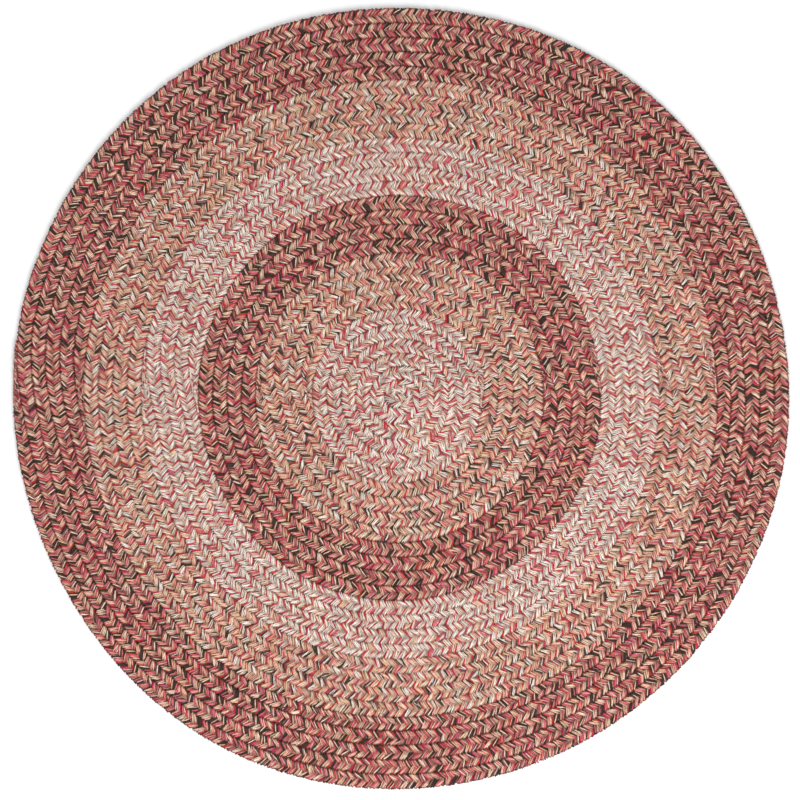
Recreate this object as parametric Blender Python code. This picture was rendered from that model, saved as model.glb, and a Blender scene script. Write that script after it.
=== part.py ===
"""Round braided rug, four feet across, built as six coiled lengths of braid.

Each colour band is its own length of three-strand braid. It is wound into rows that
lie side by side, and it is laced to the band inside it. Where a band begins and ends,
every row of it steps inward by one row. The new length tapers in at the band's outer
edge there, and the old one tapers out at its inner edge.

The frame: origin at the middle of the underside, +Z up from the floor, +X to the right
and +Y to the top of the rug as it is seen from above. Lengths are in metres.
"""
import math
from typing import NamedTuple

import bmesh
import bpy
from mathutils import Vector

# Overall sizes
FULL_SIZE = 1.2192          # four feet, the mean width of the rug
ROWS = 27                   # rows of braid from the middle to the edge
PITCH = FULL_SIZE / 2 / ROWS
CROWN_Z = 0.0110            # thickness of the braid at the crown of a row
GROOVE_Z = 0.0070           # height of the groove between two rows
BAND_GAP = 0.00032          # the gap between neighbouring bands

# The middle coil was wound as a spiral, so its rows drift inward all the way round
MIDDLE_OFFSET = Vector((-0.0039, 0.0))   # it starts a little off the true middle
DRIFT = 0.5                 # share of a row that it drifts in one turn
DRIFT_AT_DEG = 9.0          # the angle where the drift is made up again
DRIFT_SPAN_DEG = 36.0       # the angle that this takes
DRIFT_ROWS = 6              # rows from the middle where the drift is fullest
CALM_ROWS = 10              # rows from the middle where the drift has died out

# How finely the rug is divided
STATION_DEG = 6.0           # the straight sides of every circle
COARSE_DEG = 12.0           # the same in the innermost rows
COARSE_ROWS = 4             # rows from the middle that are coarse
SLIVER = 0.0012             # a tail narrower than this has run out
WELD = 0.00001              # corners closer together than this are one corner


class Rib(NamedTuple):
    """One corner of the domed top of a row."""

    across: float           # share of the row's width, from its outer edge
    lift: float             # share of the height from the groove to the crown


class Side(NamedTuple):
    """One corner of the rounded outer side of the rug."""

    inset: float            # distance in from the widest line
    height: float           # height above the floor


class Swell(NamedTuple):
    """One slow in-and-out of the hand-laid outline."""

    lobes: int              # how many times it repeats round the rug
    reach: float            # how far it reaches at the rug's edge
    at_deg: float           # where one of its lobes points


class Band(NamedTuple):
    """One length of braid, in one mix of yarns."""

    name: str
    rows: int
    join_deg: float         # the angle at which its rows step inward
    outer_span_deg: float   # the angle the step takes in its outermost row
    inner_span_deg: float   # the angle the step takes in its innermost row
    colour: tuple[float, float, float]


RIB = (
    Rib(0.00, 0.00),
    Rib(0.17, 0.76),
    Rib(0.50, 1.00),
    Rib(0.83, 0.76),
)

RIM = (
    Side(0.0036, 0.0000),
    Side(0.0007, 0.0020),
    Side(0.0000, 0.0044),
    Side(0.0008, GROOVE_Z),
)

SWELLS = (
    Swell(2, 0.0026, 89.0),
    Swell(3, 0.0019, 20.0),
    Swell(4, 0.0014, -31.0),
    Swell(5, 0.0008, -32.0),
    Swell(6, 0.0008, -4.0),
)

BANDS = (
    Band("dark_border", 5, 180.0, 24.0, 24.0, (0.337, 0.150, 0.122)),
    Band("tan_band", 4, 6.0, 18.0, 18.0, (0.456, 0.246, 0.198)),
    Band("pale_band", 4, 177.0, 24.0, 24.0, (0.546, 0.332, 0.279)),
    Band("dark_ring", 4, 9.0, 24.0, 24.0, (0.314, 0.136, 0.107)),
    Band("tan_ring", 4, 177.0, 30.0, 30.0, (0.456, 0.246, 0.198)),
    Band("pale_middle", 6, 9.0, 48.0, 360.0, (0.546, 0.332, 0.279)),
)


def drift(radius: float, angle_deg: float) -> float:
    """Return how far the spiral winding of the middle coil moves a row outward."""
    rows = radius / PITCH
    rising = rows / DRIFT_ROWS
    falling = (CALM_ROWS - rows) / (CALM_ROWS - DRIFT_ROWS)
    fade = max(0.0, min(rising, falling))
    turn = (angle_deg - DRIFT_AT_DEG + 180.0) % 360.0 - 180.0
    half = DRIFT_SPAN_DEG / 2
    if abs(turn) < half:
        saw = (0.5 - half / 360.0) * math.sin(math.pi / 2 * turn / half)
    else:
        saw = math.copysign(0.5, turn) - turn / 360.0
    return DRIFT * PITCH * saw * fade


def laid_exactly(radius: float, angle_deg: float) -> Vector:
    """Return where the point of a nominal radius and angle lies in the hand-laid rug."""
    angle = math.radians(angle_deg)
    share = radius / (FULL_SIZE / 2)
    grown = radius + drift(radius, angle_deg)
    for swell in SWELLS:
        grown += share * swell.reach * math.cos(swell.lobes * (angle - math.radians(swell.at_deg)))
    return Vector((math.cos(angle), math.sin(angle))) * grown + MIDDLE_OFFSET * (1.0 - share)


def outline_middle() -> Vector:
    """Return the middle of the box round the rug's outline."""
    sides = round(360.0 / STATION_DEG)
    rim = [laid_exactly(FULL_SIZE / 2, i * STATION_DEG) for i in range(sides)]
    xs = [point.x for point in rim]
    ys = [point.y for point in rim]
    return Vector((min(xs) + max(xs), min(ys) + max(ys))) / 2


OUTLINE_MIDDLE = outline_middle()


def laid(radius: float, angle_deg: float) -> Vector:
    """Return the point on the straight-sided circles that neighbouring bands share."""
    before = math.floor(angle_deg / STATION_DEG + 1e-6)
    along = angle_deg / STATION_DEG - before
    first = laid_exactly(radius, before * STATION_DEG)
    second = laid_exactly(radius, (before + 1) * STATION_DEG)
    return first.lerp(second, along) - OUTLINE_MIDDLE


def stepped(band: Band, line: int, angle_deg: float) -> float:
    """Return how far a line between rows has stepped inward at an angle, in rows."""
    share = (line - 1) / (band.rows - 1)
    span = band.outer_span_deg + (band.inner_span_deg - band.outer_span_deg) * share
    along = (angle_deg - band.join_deg) / span + 0.5
    along = min(1.0, max(0.0, along))
    eased = along * along * (3.0 - 2.0 * along)
    return eased + (along - eased) * span / 360.0


def row_lines(band: Band, outer: float, inner: float, top: float, angle_deg: float) -> list[float]:
    """Return the radii of the lines between the rows, from the top's edge to the inner edge."""
    lines = [top]
    for line in range(1, band.rows + 1):
        radius = outer - (line - 1 + stepped(band, line, angle_deg)) * PITCH
        if radius > top - SLIVER:
            radius = top
        if radius < inner + SLIVER:
            radius = inner
        lines.append(radius)
    lines.append(inner)
    return lines


def top_corners(lines: list[float]) -> list[tuple[float, float]]:
    """Return the radius and height of each corner across the ribbed top of a band."""
    corners = []
    for outer, inner in zip(lines, lines[1:]):
        width = outer - inner
        fullness = math.sqrt(min(1.0, width / PITCH))
        for rib in RIB:
            height = GROOVE_Z + (CROWN_Z - GROOVE_Z) * rib.lift * fullness
            corners.append((outer - rib.across * width, height))
    corners.append((lines[-1], GROOVE_Z))
    return corners


def station_angles(band: Band) -> list[float]:
    """Return the angles at which a band is cut into sections, one full turn of them."""
    start = band.join_deg - 180.0
    first = math.ceil(start / STATION_DEG)
    count = round(360.0 / STATION_DEG)
    angles = {start, start + 360.0}
    angles.update((first + i) * STATION_DEG for i in range(count))
    fine = STATION_DEG / 2
    steps = round(band.outer_span_deg / fine)
    angles.update(band.join_deg - band.outer_span_deg / 2 + i * fine for i in range(steps + 1))
    return sorted(angles)


def is_coarse(angles: list[float], place: int) -> bool:
    """Tell whether a station is one that the innermost rows also use."""
    return place in (0, len(angles) - 1) or angles[place] % COARSE_DEG == 0.0


def bridge(mesh: bmesh.types.BMesh, one: dict, two: dict) -> None:
    """Skin the strip between two lines of corners, the second at most as fine as the first."""
    shared = sorted(set(one) & set(two))
    for start, end in zip(shared, shared[1:]):
        near = [one[place] for place in sorted(one) if start <= place <= end]
        mesh.faces.new(near + [two[end], two[start]])


def build_band(band: Band, outer: float, inner: float, is_rim: bool) -> bpy.types.Object:
    """Build one band as a closed solid with a ribbed top and a flat underside."""
    side = RIM if is_rim else (Side(0.0, 0.0), Side(0.0, GROOVE_Z))
    angles = station_angles(band)
    sections = []
    for angle_deg in angles:
        lines = row_lines(band, outer, inner, outer - side[-1].inset, angle_deg)
        section = [(outer - corner.inset, corner.height) for corner in side[:-1]]
        section += top_corners(lines)
        if inner > 0.0:
            section.append((inner, 0.0))
        sections.append(section)

    mesh = bmesh.new()
    rings = []
    coarse_from = len(sections[0])
    if inner == 0.0:
        coarse_from = len(side) - 1 + (band.rows + 1 - COARSE_ROWS) * len(RIB)
    for corner in range(len(sections[0])):
        ring = {}
        for place, angle_deg in enumerate(angles):
            if corner < coarse_from or is_coarse(angles, place):
                radius, height = sections[place][corner]
                ring[place] = mesh.verts.new((*laid(radius, angle_deg), height))
        rings.append(ring)
    for one, two in zip(rings, rings[1:]):
        bridge(mesh, one, two)
    if inner > 0.0:
        bridge(mesh, rings[-1], rings[0])
    else:
        mesh.faces.new([rings[0][place] for place in range(len(angles) - 1, 0, -1)])

    bmesh.ops.remove_doubles(mesh, verts=mesh.verts, dist=WELD)
    bmesh.ops.triangulate(mesh, faces=mesh.faces)
    bmesh.ops.recalc_face_normals(mesh, faces=mesh.faces)
    data = bpy.data.meshes.new(band.name)
    mesh.to_mesh(data)
    mesh.free()
    return bpy.data.objects.new(band.name, data)


def yarn(band: Band) -> bpy.types.Material:
    """Make the matt yarn colour of one band, the mean of its mixed yarns."""
    material = bpy.data.materials.new(band.name + "_yarn")
    material.use_nodes = True
    shader = material.node_tree.nodes["Principled BSDF"]
    shader.inputs["Base Color"].default_value = (*band.colour, 1.0)
    shader.inputs["Roughness"].default_value = 0.95
    shader.inputs["Metallic"].default_value = 0.0
    material.diffuse_color = (*band.colour, 1.0)
    return material


def build_rug() -> None:
    """Build every band, from the border inward, each with its own yarn."""
    collection = bpy.data.collections.new("braided_rug")
    bpy.context.scene.collection.children.link(collection)
    rows_inside = ROWS
    for band in BANDS:
        is_rim = rows_inside == ROWS
        outer = rows_inside * PITCH - (0.0 if is_rim else BAND_GAP / 2)
        rows_inside -= band.rows
        inner = rows_inside * PITCH + BAND_GAP / 2 if rows_inside else 0.0
        piece = build_band(band, outer, inner, is_rim)
        piece.data.materials.append(yarn(band))
        collection.objects.link(piece)


for old in list(bpy.data.objects):
    bpy.data.objects.remove(old, do_unlink=True)
build_rug()
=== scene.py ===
"""Round braided rug of six bands of mixed yarn, lying flat and seen from above.

The rug is laid out by the same sizes as its solids: rows of braid wound round the middle,
each colour band its own length of braid, every row of a band stepping inward at the band's
join. Each row is a braid of three strands. A strand shows as a slanting bundle of yarns
on the outer half of its row, dives under its neighbour at the row's middle and comes up on
the inner half, so that a row reads as a chain of arrowheads.

Lengths are in metres, apart from the places on a yarn, which are in millimetres.
"""
from __future__ import annotations

import logging
import math
from dataclasses import dataclass
from enum import Enum
from functools import cached_property
from itertools import takewhile
from typing import Any, NamedTuple

import bpy
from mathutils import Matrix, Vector

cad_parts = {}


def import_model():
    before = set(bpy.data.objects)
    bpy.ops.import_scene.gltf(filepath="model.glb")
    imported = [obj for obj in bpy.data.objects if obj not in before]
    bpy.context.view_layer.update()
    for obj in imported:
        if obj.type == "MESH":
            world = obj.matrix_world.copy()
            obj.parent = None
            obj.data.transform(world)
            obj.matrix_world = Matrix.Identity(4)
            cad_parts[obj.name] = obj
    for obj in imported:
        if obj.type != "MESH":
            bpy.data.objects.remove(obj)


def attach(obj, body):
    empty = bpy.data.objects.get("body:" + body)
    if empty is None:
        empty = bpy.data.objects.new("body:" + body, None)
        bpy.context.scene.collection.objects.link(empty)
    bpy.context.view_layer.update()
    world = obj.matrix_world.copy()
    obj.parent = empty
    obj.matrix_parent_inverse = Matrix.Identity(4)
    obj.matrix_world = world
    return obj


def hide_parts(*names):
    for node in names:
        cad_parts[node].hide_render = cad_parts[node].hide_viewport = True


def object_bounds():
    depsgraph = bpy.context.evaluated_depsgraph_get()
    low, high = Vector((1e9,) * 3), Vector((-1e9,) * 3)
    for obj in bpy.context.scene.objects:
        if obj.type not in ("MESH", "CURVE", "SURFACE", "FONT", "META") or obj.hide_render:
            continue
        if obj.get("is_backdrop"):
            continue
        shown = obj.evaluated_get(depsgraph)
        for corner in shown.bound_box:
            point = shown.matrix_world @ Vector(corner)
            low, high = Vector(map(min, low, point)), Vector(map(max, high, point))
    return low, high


LOG = logging.getLogger("rug")
MM = 0.001
UP = (0.0, 0.0, 1.0)
YARN_MAP_HALF = 1.7  # half the width of a lying yarn on its map, in millimetres
ALMOST_ONE = 0.999  # the end of a random place on a ramp, short of the ramp's own end

Colour = tuple[float, float, float, float]


class YarnColour(Enum):
    """The dyed yarns of the rug, as display colours from 0 to 255."""

    BARK = (59, 45, 36)
    MAUVE = (149, 105, 101)
    CRIMSON = (184, 43, 64)
    ROSE = (219, 115, 121)
    BLUSH = (238, 175, 163)
    TAN = (230, 196, 165)
    SAND = (238, 220, 201)
    CREAM = (239, 237, 228)

    def linear(self) -> Colour:
        """Return the colour as scene-linear red, green, blue and alpha."""
        return (*(to_linear(channel / 255.0) for channel in self.value), 1.0)


Strands = tuple[tuple[YarnColour, ...], ...]


def to_linear(value: float) -> float:
    """Return a display channel from 0 to 1 as a scene-linear one."""
    return value / 12.92 if value <= 0.04045 else ((value + 0.055) / 1.055) ** 2.4


class Limb(Enum):
    """The half of a row that a strand lies on."""

    OUTER = 1
    INNER = -1


class Face(Enum):
    """The side of the rug."""

    TOP = 1
    UNDERSIDE = -1


# ---------------------------------------------------------------- node trees


class Fade(NamedTuple):
    """How one value follows another from its start to its end, and stays the same beyond."""

    start: float
    end: float
    first: float
    last: float


class Wire:
    """A value or geometry on its way through a node tree. Arithmetic on it adds nodes."""

    def __init__(self, web: NodeWeb, socket: bpy.types.NodeSocket) -> None:
        """Start from the output of a node."""
        self.web = web
        self.socket = socket

    def math(self, operation: str, *others: Any) -> Wire:
        """Return the result of a Math node on this number and others."""
        return self.web.result("ShaderNodeMath", dict(enumerate((self, *others))), operation=operation)

    def whole(self, operation: str, other: Any) -> Wire:
        """Return the result of an Integer Math node on this number and another."""
        return self.web.result("FunctionNodeIntegerMath", {0: self, 1: other}, operation=operation)

    def __add__(self, other: Any) -> Wire:
        """Return the sum of two numbers."""
        return self.math("ADD", other)

    def __sub__(self, other: Any) -> Wire:
        """Return the difference of two numbers."""
        return self.math("SUBTRACT", other)

    def __mul__(self, other: Any) -> Wire:
        """Return the product of two numbers."""
        return self.math("MULTIPLY", other)

    def __truediv__(self, other: Any) -> Wire:
        """Return one number divided by another."""
        return self.math("DIVIDE", other)

    def __abs__(self) -> Wire:
        """Return the number without its sign."""
        return self.math("ABSOLUTE")

    def faded(self, fade: Fade) -> Wire:
        """Return a number that follows this one."""
        inputs = {"Value": self, **dict(zip(("From Min", "From Max", "To Min", "To Max"), fade))}
        return self.web.result("ShaderNodeMapRange", inputs, clamp=True)

    def scaled(self, factor: Wire) -> Wire:
        """Return this vector scaled by a number."""
        return self.web.result("ShaderNodeVectorMath", {0: self, "Scale": factor}, operation="SCALE")

    def plus(self, other: Any) -> Wire:
        """Return the sum of this vector and another."""
        return self.web.result("ShaderNodeVectorMath", {0: self, 1: other}, operation="ADD")

    def parts(self) -> list[Wire]:
        """Return this vector's X, Y and Z."""
        return self.web.results("ShaderNodeSeparateXYZ", {0: self}, ("X", "Y", "Z"))


class NodeWeb:
    """Adds nodes to a tree and joins them, so that building a tree reads as its steps."""

    def __init__(self, tree: bpy.types.NodeTree) -> None:
        """Start on an empty shader or geometry tree."""
        self.tree = tree

    def add(self, kind: str, inputs: dict[Any, Any] | None = None, **settings: Any) -> bpy.types.Node:
        """Add a node.

        Args:
            kind: the node's Blender type.
            inputs: what each input is given, by socket identifier, name or place: a wire to
                join it to, or a value.
            settings: the node's own properties.

        Returns:
            The new node.
        """
        node = self.tree.nodes.new(kind)
        for name, value in settings.items():
            setattr(node, name, value)
        for key, value in (inputs or {}).items():
            named = [socket for socket in node.inputs if socket.identifier == key]
            self.give(named[0] if named else node.inputs[key], value)
        return node

    def give(self, socket: bpy.types.NodeSocket, value: Any) -> None:
        """Give an input what it needs.

        Args:
            socket: the input.
            value: a wire to join it to, or a value to set it to.
        """
        if isinstance(value, Wire):
            self.tree.links.new(value.socket, socket)
        else:
            socket.default_value = value

    def results(self, kind: str, inputs: dict[Any, Any], outputs: tuple[Any, ...],
                **settings: Any) -> list[Wire]:
        """Add a node and return several of its outputs, by name or place."""
        node = self.add(kind, inputs, **settings)
        return [Wire(self, node.outputs[output]) for output in outputs]

    def result(self, kind: str, inputs: dict[Any, Any] | None = None, output: int | str = 0,
               **settings: Any) -> Wire:
        """Add a node and return one of its outputs, the first unless another is named."""
        return self.results(kind, inputs or {}, (output,), **settings)[0]

    def vector(self, x: Any = 0.0, y: Any = 0.0, z: Any = 0.0) -> Wire:
        """Return a vector made of three numbers."""
        return self.result("ShaderNodeCombineXYZ", {0: x, 1: y, 2: z})

    def mixed(self, factor: Any, one: Any, two: Any, blend: str = "MIX") -> Wire:
        """Return a blend of two colours."""
        inputs = {"Factor_Float": factor, "A_Color": one, "B_Color": two}
        return self.result("ShaderNodeMix", inputs, 2, data_type="RGBA", blend_type=blend)

    def choice(self, index: Wire, values: tuple[Any, ...], kind: str) -> Wire:
        """Return the one of several values that stands at an index.

        Args:
            index: the place in the values, from 0.
            values: two or more numbers or wires.
            kind: Blender's name for what they hold.

        Returns:
            The chosen value.
        """
        switch = self.add("GeometryNodeIndexSwitch", data_type=kind)
        for _ in values[2:]:
            switch.index_switch_items.new()
        self.give(switch.inputs["Index"], index)
        for number, value in enumerate(values):
            self.give(switch.inputs[number + 1], value)
        return Wire(self, switch.outputs[0])

    def dyed(self, place: Wire, yarns: tuple[YarnColour, ...]) -> Wire:
        """Return the colour of one of several yarns.

        Args:
            place: from 0 at the first of them to 1 at the end of the last.
            yarns: the yarns, each of which has an even, unblended step.

        Returns:
            The colour.
        """
        node = self.add("ShaderNodeValToRGB", {"Fac": place})
        ramp = node.color_ramp
        ramp.interpolation = "CONSTANT"
        while len(ramp.elements) < len(yarns):
            ramp.elements.new(1.0)
        for number, yarn in enumerate(yarns):
            ramp.elements[number].position = number / len(yarns)
            ramp.elements[number].color = yarn.linear()
        return Wire(self, node.outputs["Color"])

    def kept(self, geometry: Wire, name: str, value: Wire, kind: str, domain: str = "POINT") -> Wire:
        """Return geometry that carries a named attribute."""
        inputs = {"Geometry": geometry, "Name": name, "Value": value}
        return self.result("GeometryNodeStoreNamedAttribute", inputs, data_type=kind, domain=domain)

    def moved(self, geometry: Wire, offset: Wire) -> Wire:
        """Return geometry with its points moved."""
        return self.result("GeometryNodeSetPosition", {"Geometry": geometry, "Offset": offset})

    def real(self, geometry: Wire) -> Wire:
        """Return geometry with its instances made real."""
        return self.result("GeometryNodeRealizeInstances", {"Geometry": geometry})

    def facing(self, upward: Any, run: Wire, turn: Wire) -> Wire:
        """Return the rotation of a yarn that lies on a braid.

        Args:
            upward: the way that its top faces.
            run: the way that the braid runs.
            turn: the angle by which the yarn turns away from that way.

        Returns:
            The rotation.
        """
        axes = {"Primary Axis": upward, "Secondary Axis": run}
        straight = self.result("FunctionNodeAxesToRotation", axes, primary_axis="Z", secondary_axis="X")
        turned = self.result("FunctionNodeEulerToRotation", {0: self.vector(z=turn)})
        both = {"Rotation": straight, "Rotate By": turned}
        return self.result("FunctionNodeRotateRotation", both, rotation_space="LOCAL")


class PieceTree:
    """A geometry tree that makes one piece from named inputs."""

    def __init__(self, name: str, values: dict[str, Any]) -> None:
        """Args:
            name: the name of the tree and its piece.
            values: what each input is given, by the input's name.
        """
        self.name = name
        self.tree = bpy.data.node_groups.new(name, "GeometryNodeTree")
        self.web = NodeWeb(self.tree)
        for in_out in ("INPUT", "OUTPUT"):
            self.tree.interface.new_socket("Geometry", in_out=in_out, socket_type="NodeSocketGeometry")
        self.values = {}
        for label, value in values.items():
            held = {float: "Float", int: "Int"}.get(type(value), type(value).__name__)
            item = self.tree.interface.new_socket(label, in_out="INPUT", socket_type="NodeSocket" + held)
            self.values[item.identifier] = value
        outputs = self.web.add("NodeGroupInput").outputs
        self.given = {label: Wire(self.web, outputs[label]) for label in values}

    def fill(self) -> Wire:
        """Lay the tree's nodes and return the geometry that they make."""
        raise NotImplementedError

    def chance(self, low: Any, high: float, draw: int, lot: Wire | None = None) -> Wire:
        """Return a random number for each point, or for each lot of them.

        Args:
            low: the lowest that it may be.
            high: the highest.
            draw: the number of the draw, which keeps it apart from the tree's other draws.
            lot: a whole number, the same for the points that share one random number.

        Returns:
            The random number.
        """
        inputs = {"Min_001": low, "Max_001": high, "Seed": self.given["Seed"].whole("ADD", draw)}
        inputs.update({} if lot is None else {"ID": lot})
        return self.web.result("FunctionNodeRandomValue", inputs, 1, data_type="FLOAT")

    def shape(self, label: str) -> Wire:
        """Return the geometry of the object that an input holds."""
        return self.web.result("GeometryNodeObjectInfo", {"Object": self.given[label]}, "Geometry")

    def strung(self, label: str, spacing: Wire) -> list[Wire]:
        """Return even points along the curve that an input holds, and the way that it runs there."""
        course = {"Curve": self.shape(label), "Length": spacing}
        return self.web.results("GeometryNodeCurveToPoints", course, ("Points", "Tangent"), mode="LENGTH")

    def grow(self) -> bpy.types.Object:
        """Run the tree as a modifier, and take the modifier away again.

        Returns:
            The piece that it makes, with a plain mesh.
        """
        dress = {"Geometry": self.web.real(self.fill()), "Material": self.given["Finish"]}
        self.web.add("NodeGroupOutput", {0: self.web.result("GeometryNodeSetMaterial", dress)})
        host = linked(bpy.data.objects.new(self.name, bpy.data.meshes.new(self.name)))
        modifier = host.modifiers.new(self.name, "NODES")
        modifier.node_group = self.tree
        for identifier, value in self.values.items():
            modifier[identifier] = value
        graph = bpy.context.evaluated_depsgraph_get()
        mesh = bpy.data.meshes.new_from_object(
            host.evaluated_get(graph), preserve_all_data_layers=True, depsgraph=graph
        )
        host.modifiers.remove(modifier)
        old, host.data = host.data, mesh
        bpy.data.meshes.remove(old)
        mesh.name = self.name
        return host


def named(sizes: Any) -> dict[str, Any]:
    """Return the sizes in a dataclass as the inputs of a tree, each named in words."""
    return {name.replace("_", " ").title(): value for name, value in vars(sizes).items()}


# ---------------------------------------------------------------- the layout


@dataclass(frozen=True)
class Swell:
    """One slow in-and-out of the hand-laid outline."""

    lobes: int  # how many times it repeats round the rug
    reach: float  # how far it reaches at the rug's edge
    at_deg: float  # where one of its lobes points


@dataclass(frozen=True)
class Layout:
    """How the rows were laid round the middle of the rug."""

    full_size: float = 1.2192  # four feet, the mean width of the rug
    rows: int = 27  # from the middle to the edge
    rim_inset: float = 1.2 * MM  # how far the outermost strands stay inside the outline
    middle_offset: float = -0.0039  # where the coil in the middle starts, along X
    drift: float = 0.5  # share of a row that it drifts in one turn
    drift_at_deg: float = 9.0  # the angle where the drift is made up again
    drift_span_deg: float = 36.0  # the angle that this takes
    drift_rows: int = 6  # rows from the middle where the drift is fullest
    calm_rows: int = 10  # rows from the middle where the drift has died out
    station_deg: int = 6  # the straight sides of the outline of the solids
    swells: tuple[Swell, ...] = (
        Swell(2, 0.0026, 89.0),
        Swell(3, 0.0019, 20.0),
        Swell(4, 0.0014, -31.0),
        Swell(5, 0.0008, -32.0),
        Swell(6, 0.0008, -4.0),
    )

    @property
    def pitch(self) -> float:
        """Return the width of one row of braid."""
        return self.full_size / 2 / self.rows

    def drifted(self, radius: float, angle_deg: float) -> float:
        """Return how far the spiral winding of the middle coil moves a row outward.

        Args:
            radius: the row's nominal distance from the middle.
            angle_deg: the angle from +X towards +Y.

        Returns:
            The distance, below 0 where the row moves inward.
        """
        rows = radius / self.pitch
        fade = min(rows / self.drift_rows, (self.calm_rows - rows) / (self.calm_rows - self.drift_rows))
        turn = (angle_deg - self.drift_at_deg + 180.0) % 360.0 - 180.0
        half = self.drift_span_deg / 2
        if abs(turn) < half:
            saw = (0.5 - half / 360.0) * math.sin(math.pi / 2 * turn / half)
        else:
            saw = math.copysign(0.5, turn) - turn / 360.0
        return self.drift * self.pitch * saw * max(0.0, fade)

    def laid(self, radius: float, angle_deg: float) -> Vector:
        """Return where a nominal radius and angle lie on the floor, from the middle of the winding.

        Args:
            radius: the nominal distance from the middle.
            angle_deg: the angle from +X towards +Y.

        Returns:
            The point.
        """
        angle = math.radians(angle_deg)
        share = radius / (self.full_size / 2)
        grown = radius + self.drifted(radius, angle_deg)
        for swell in self.swells:
            grown += share * swell.reach * math.cos(swell.lobes * (angle - math.radians(swell.at_deg)))
        shift = self.middle_offset * (1.0 - share)
        return Vector((grown * math.cos(angle) + shift, grown * math.sin(angle), 0.0))

    @cached_property
    def origin(self) -> Vector:
        """Find the frame's origin.

        Returns:
            The middle of the box round the outline.
        """
        rim = [self.laid(self.full_size / 2, angle) for angle in range(0, 360, self.station_deg)]
        xs = [point.x for point in rim]
        ys = [point.y for point in rim]
        return Vector(((min(xs) + max(xs)) / 2, (min(ys) + max(ys)) / 2, 0.0))


@dataclass(frozen=True)
class YarnMix:
    """The yarns of a braid's three strands."""

    lying: Strands  # the yarns on top of each strand, in their order round it
    sunk: Strands  # those that only show between two strands
    groove_shade: float  # how dark the groove between two rows is

    def mean_colour(self) -> Colour:
        """Return the mean of the lying yarns, scene-linear."""
        yarns = [yarn.linear() for strand in self.lying for yarn in strand]
        return tuple(sum(channel) / len(yarns) for channel in zip(*yarns))


@dataclass(frozen=True)
class BandPlan:
    """One length of braid: its rows, its join and its yarns."""

    name: str
    rows: int
    join_deg: float  # the angle at which its rows step inward
    outer_span_deg: float  # the angle the step takes in its outermost row
    inner_span_deg: float  # the angle the step takes in its innermost row
    mix: YarnMix

    def stepped(self, line: int, angle_deg: float) -> float:
        """Return how far a line between rows has stepped inward at an angle.

        Args:
            line: the line's number, from 1 at the band's outer edge.
            angle_deg: the angle from +X towards +Y.

        Returns:
            The step, from 0 to 1 row.
        """
        share = (line - 1) / (self.rows - 1)
        span = self.outer_span_deg + (self.inner_span_deg - self.outer_span_deg) * share
        along = min(1.0, max(0.0, (angle_deg - self.join_deg) / span + 0.5))
        eased = along * along * (3.0 - 2.0 * along)
        return eased + (along - eased) * span / 360.0


@dataclass(frozen=True)
class TrackPoint:
    """One point of the middle line of a row, on the floor, and the row's width there."""

    place: Vector
    width: float


@dataclass(frozen=True)
class Track:
    """The middle line of a band's braid, from its outer tail to its inner one."""

    layout: Layout
    plan: BandPlan
    outer: float  # the radius of the band's outer edge
    inner: float  # the radius of its inner edge, 0 for the middle coil
    step: float = 8 * MM  # the longest step between two points
    finest_deg: float = 3.0  # the widest angle between them
    narrowest: float = 0.07  # share of a row at which a tail has run out
    folded_from: float = 0.75  # share of a turn after which the middle folds back
    first_run: float = 0.45  # how far it then runs on, in rows
    fold_steps: int = 12
    run_steps: int = 4

    def line(self, number: int, angle_deg: float) -> float:
        """Return the nominal radius of the line between two rows, the band's edges included.

        Args:
            number: the line's number, 0 at the band's outer edge.
            angle_deg: the angle from +X towards +Y.

        Returns:
            The radius.
        """
        if number == 0:
            return self.outer
        if number > self.plan.rows:
            return self.inner
        rows = number - 1 + self.plan.stepped(number, angle_deg)
        return min(self.outer, max(self.inner, self.outer - rows * self.layout.pitch))

    @cached_property
    def points(self) -> list[TrackPoint]:
        """Follow the braid from its outer tail to its inner one.

        Returns:
            The track's points, without the ends where the tails have run out.
        """
        start = self.plan.join_deg - 180.0
        is_coil = self.inner == 0.0
        whole_turns = self.plan.rows + (self.folded_from - 1.0 if is_coil else 1.0)
        found = []
        turned = 0.0
        while turned < 360.0 * whole_turns:
            row, angle = divmod(turned, 360.0)
            angle += start
            far = self.line(int(row), angle)
            near = self.line(int(row) + 1, angle)
            radius = (far + near) / 2
            if far - near > self.narrowest * self.layout.pitch:
                found.append(self._point(radius, angle, far - near))
            turned += min(self.finest_deg, math.degrees(self.step / radius))
        return found + (self._fold() if is_coil else [])

    def _point(self, radius: float, angle_deg: float, width: float) -> TrackPoint:
        """Return a point of the track from its nominal radius and angle."""
        return TrackPoint(self.layout.laid(radius, angle_deg) - self.layout.origin, width)

    def _fold(self) -> list[TrackPoint]:
        """End the braid in the middle, where it folds back on itself and stops.

        Returns:
            The points of the fold.
        """
        pitch = self.layout.pitch
        lean = self.folded_from - 0.5
        turns = [math.pi * step / self.fold_steps for step in range(self.fold_steps + 1)]
        spots = [(-0.5 * math.sin(turn), lean + 0.5 * math.cos(turn)) for turn in turns]
        steps = range(1, self.run_steps + 1)
        spots += [(self.first_run * step / self.run_steps, lean - 0.5) for step in steps]
        join = self.plan.join_deg
        return [self._point(pitch * math.hypot(x, y), math.degrees(math.atan2(y, x)) + join, pitch)
                for x, y in spots]

    def tails(self, widest: float) -> list[list[TrackPoint]]:
        """Return the ends of the track where the braid tapers, each from its tip.

        Args:
            widest: the share of its full width under which a row is a tail.

        Returns:
            The points of each end.
        """
        limit = widest * self.layout.pitch
        runs = (self.points, self.points[::-1])
        ends = [list(takewhile(lambda point: point.width <= limit, run)) for run in runs]
        return [end for end in ends if len(end) > 2]

    def length(self) -> float:
        """Return the length of the track."""
        places = [point.place for point in self.points]
        return sum((two - one).length for one, two in zip(places, places[1:]))


# ---------------------------------------------------------------- helpers


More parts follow.
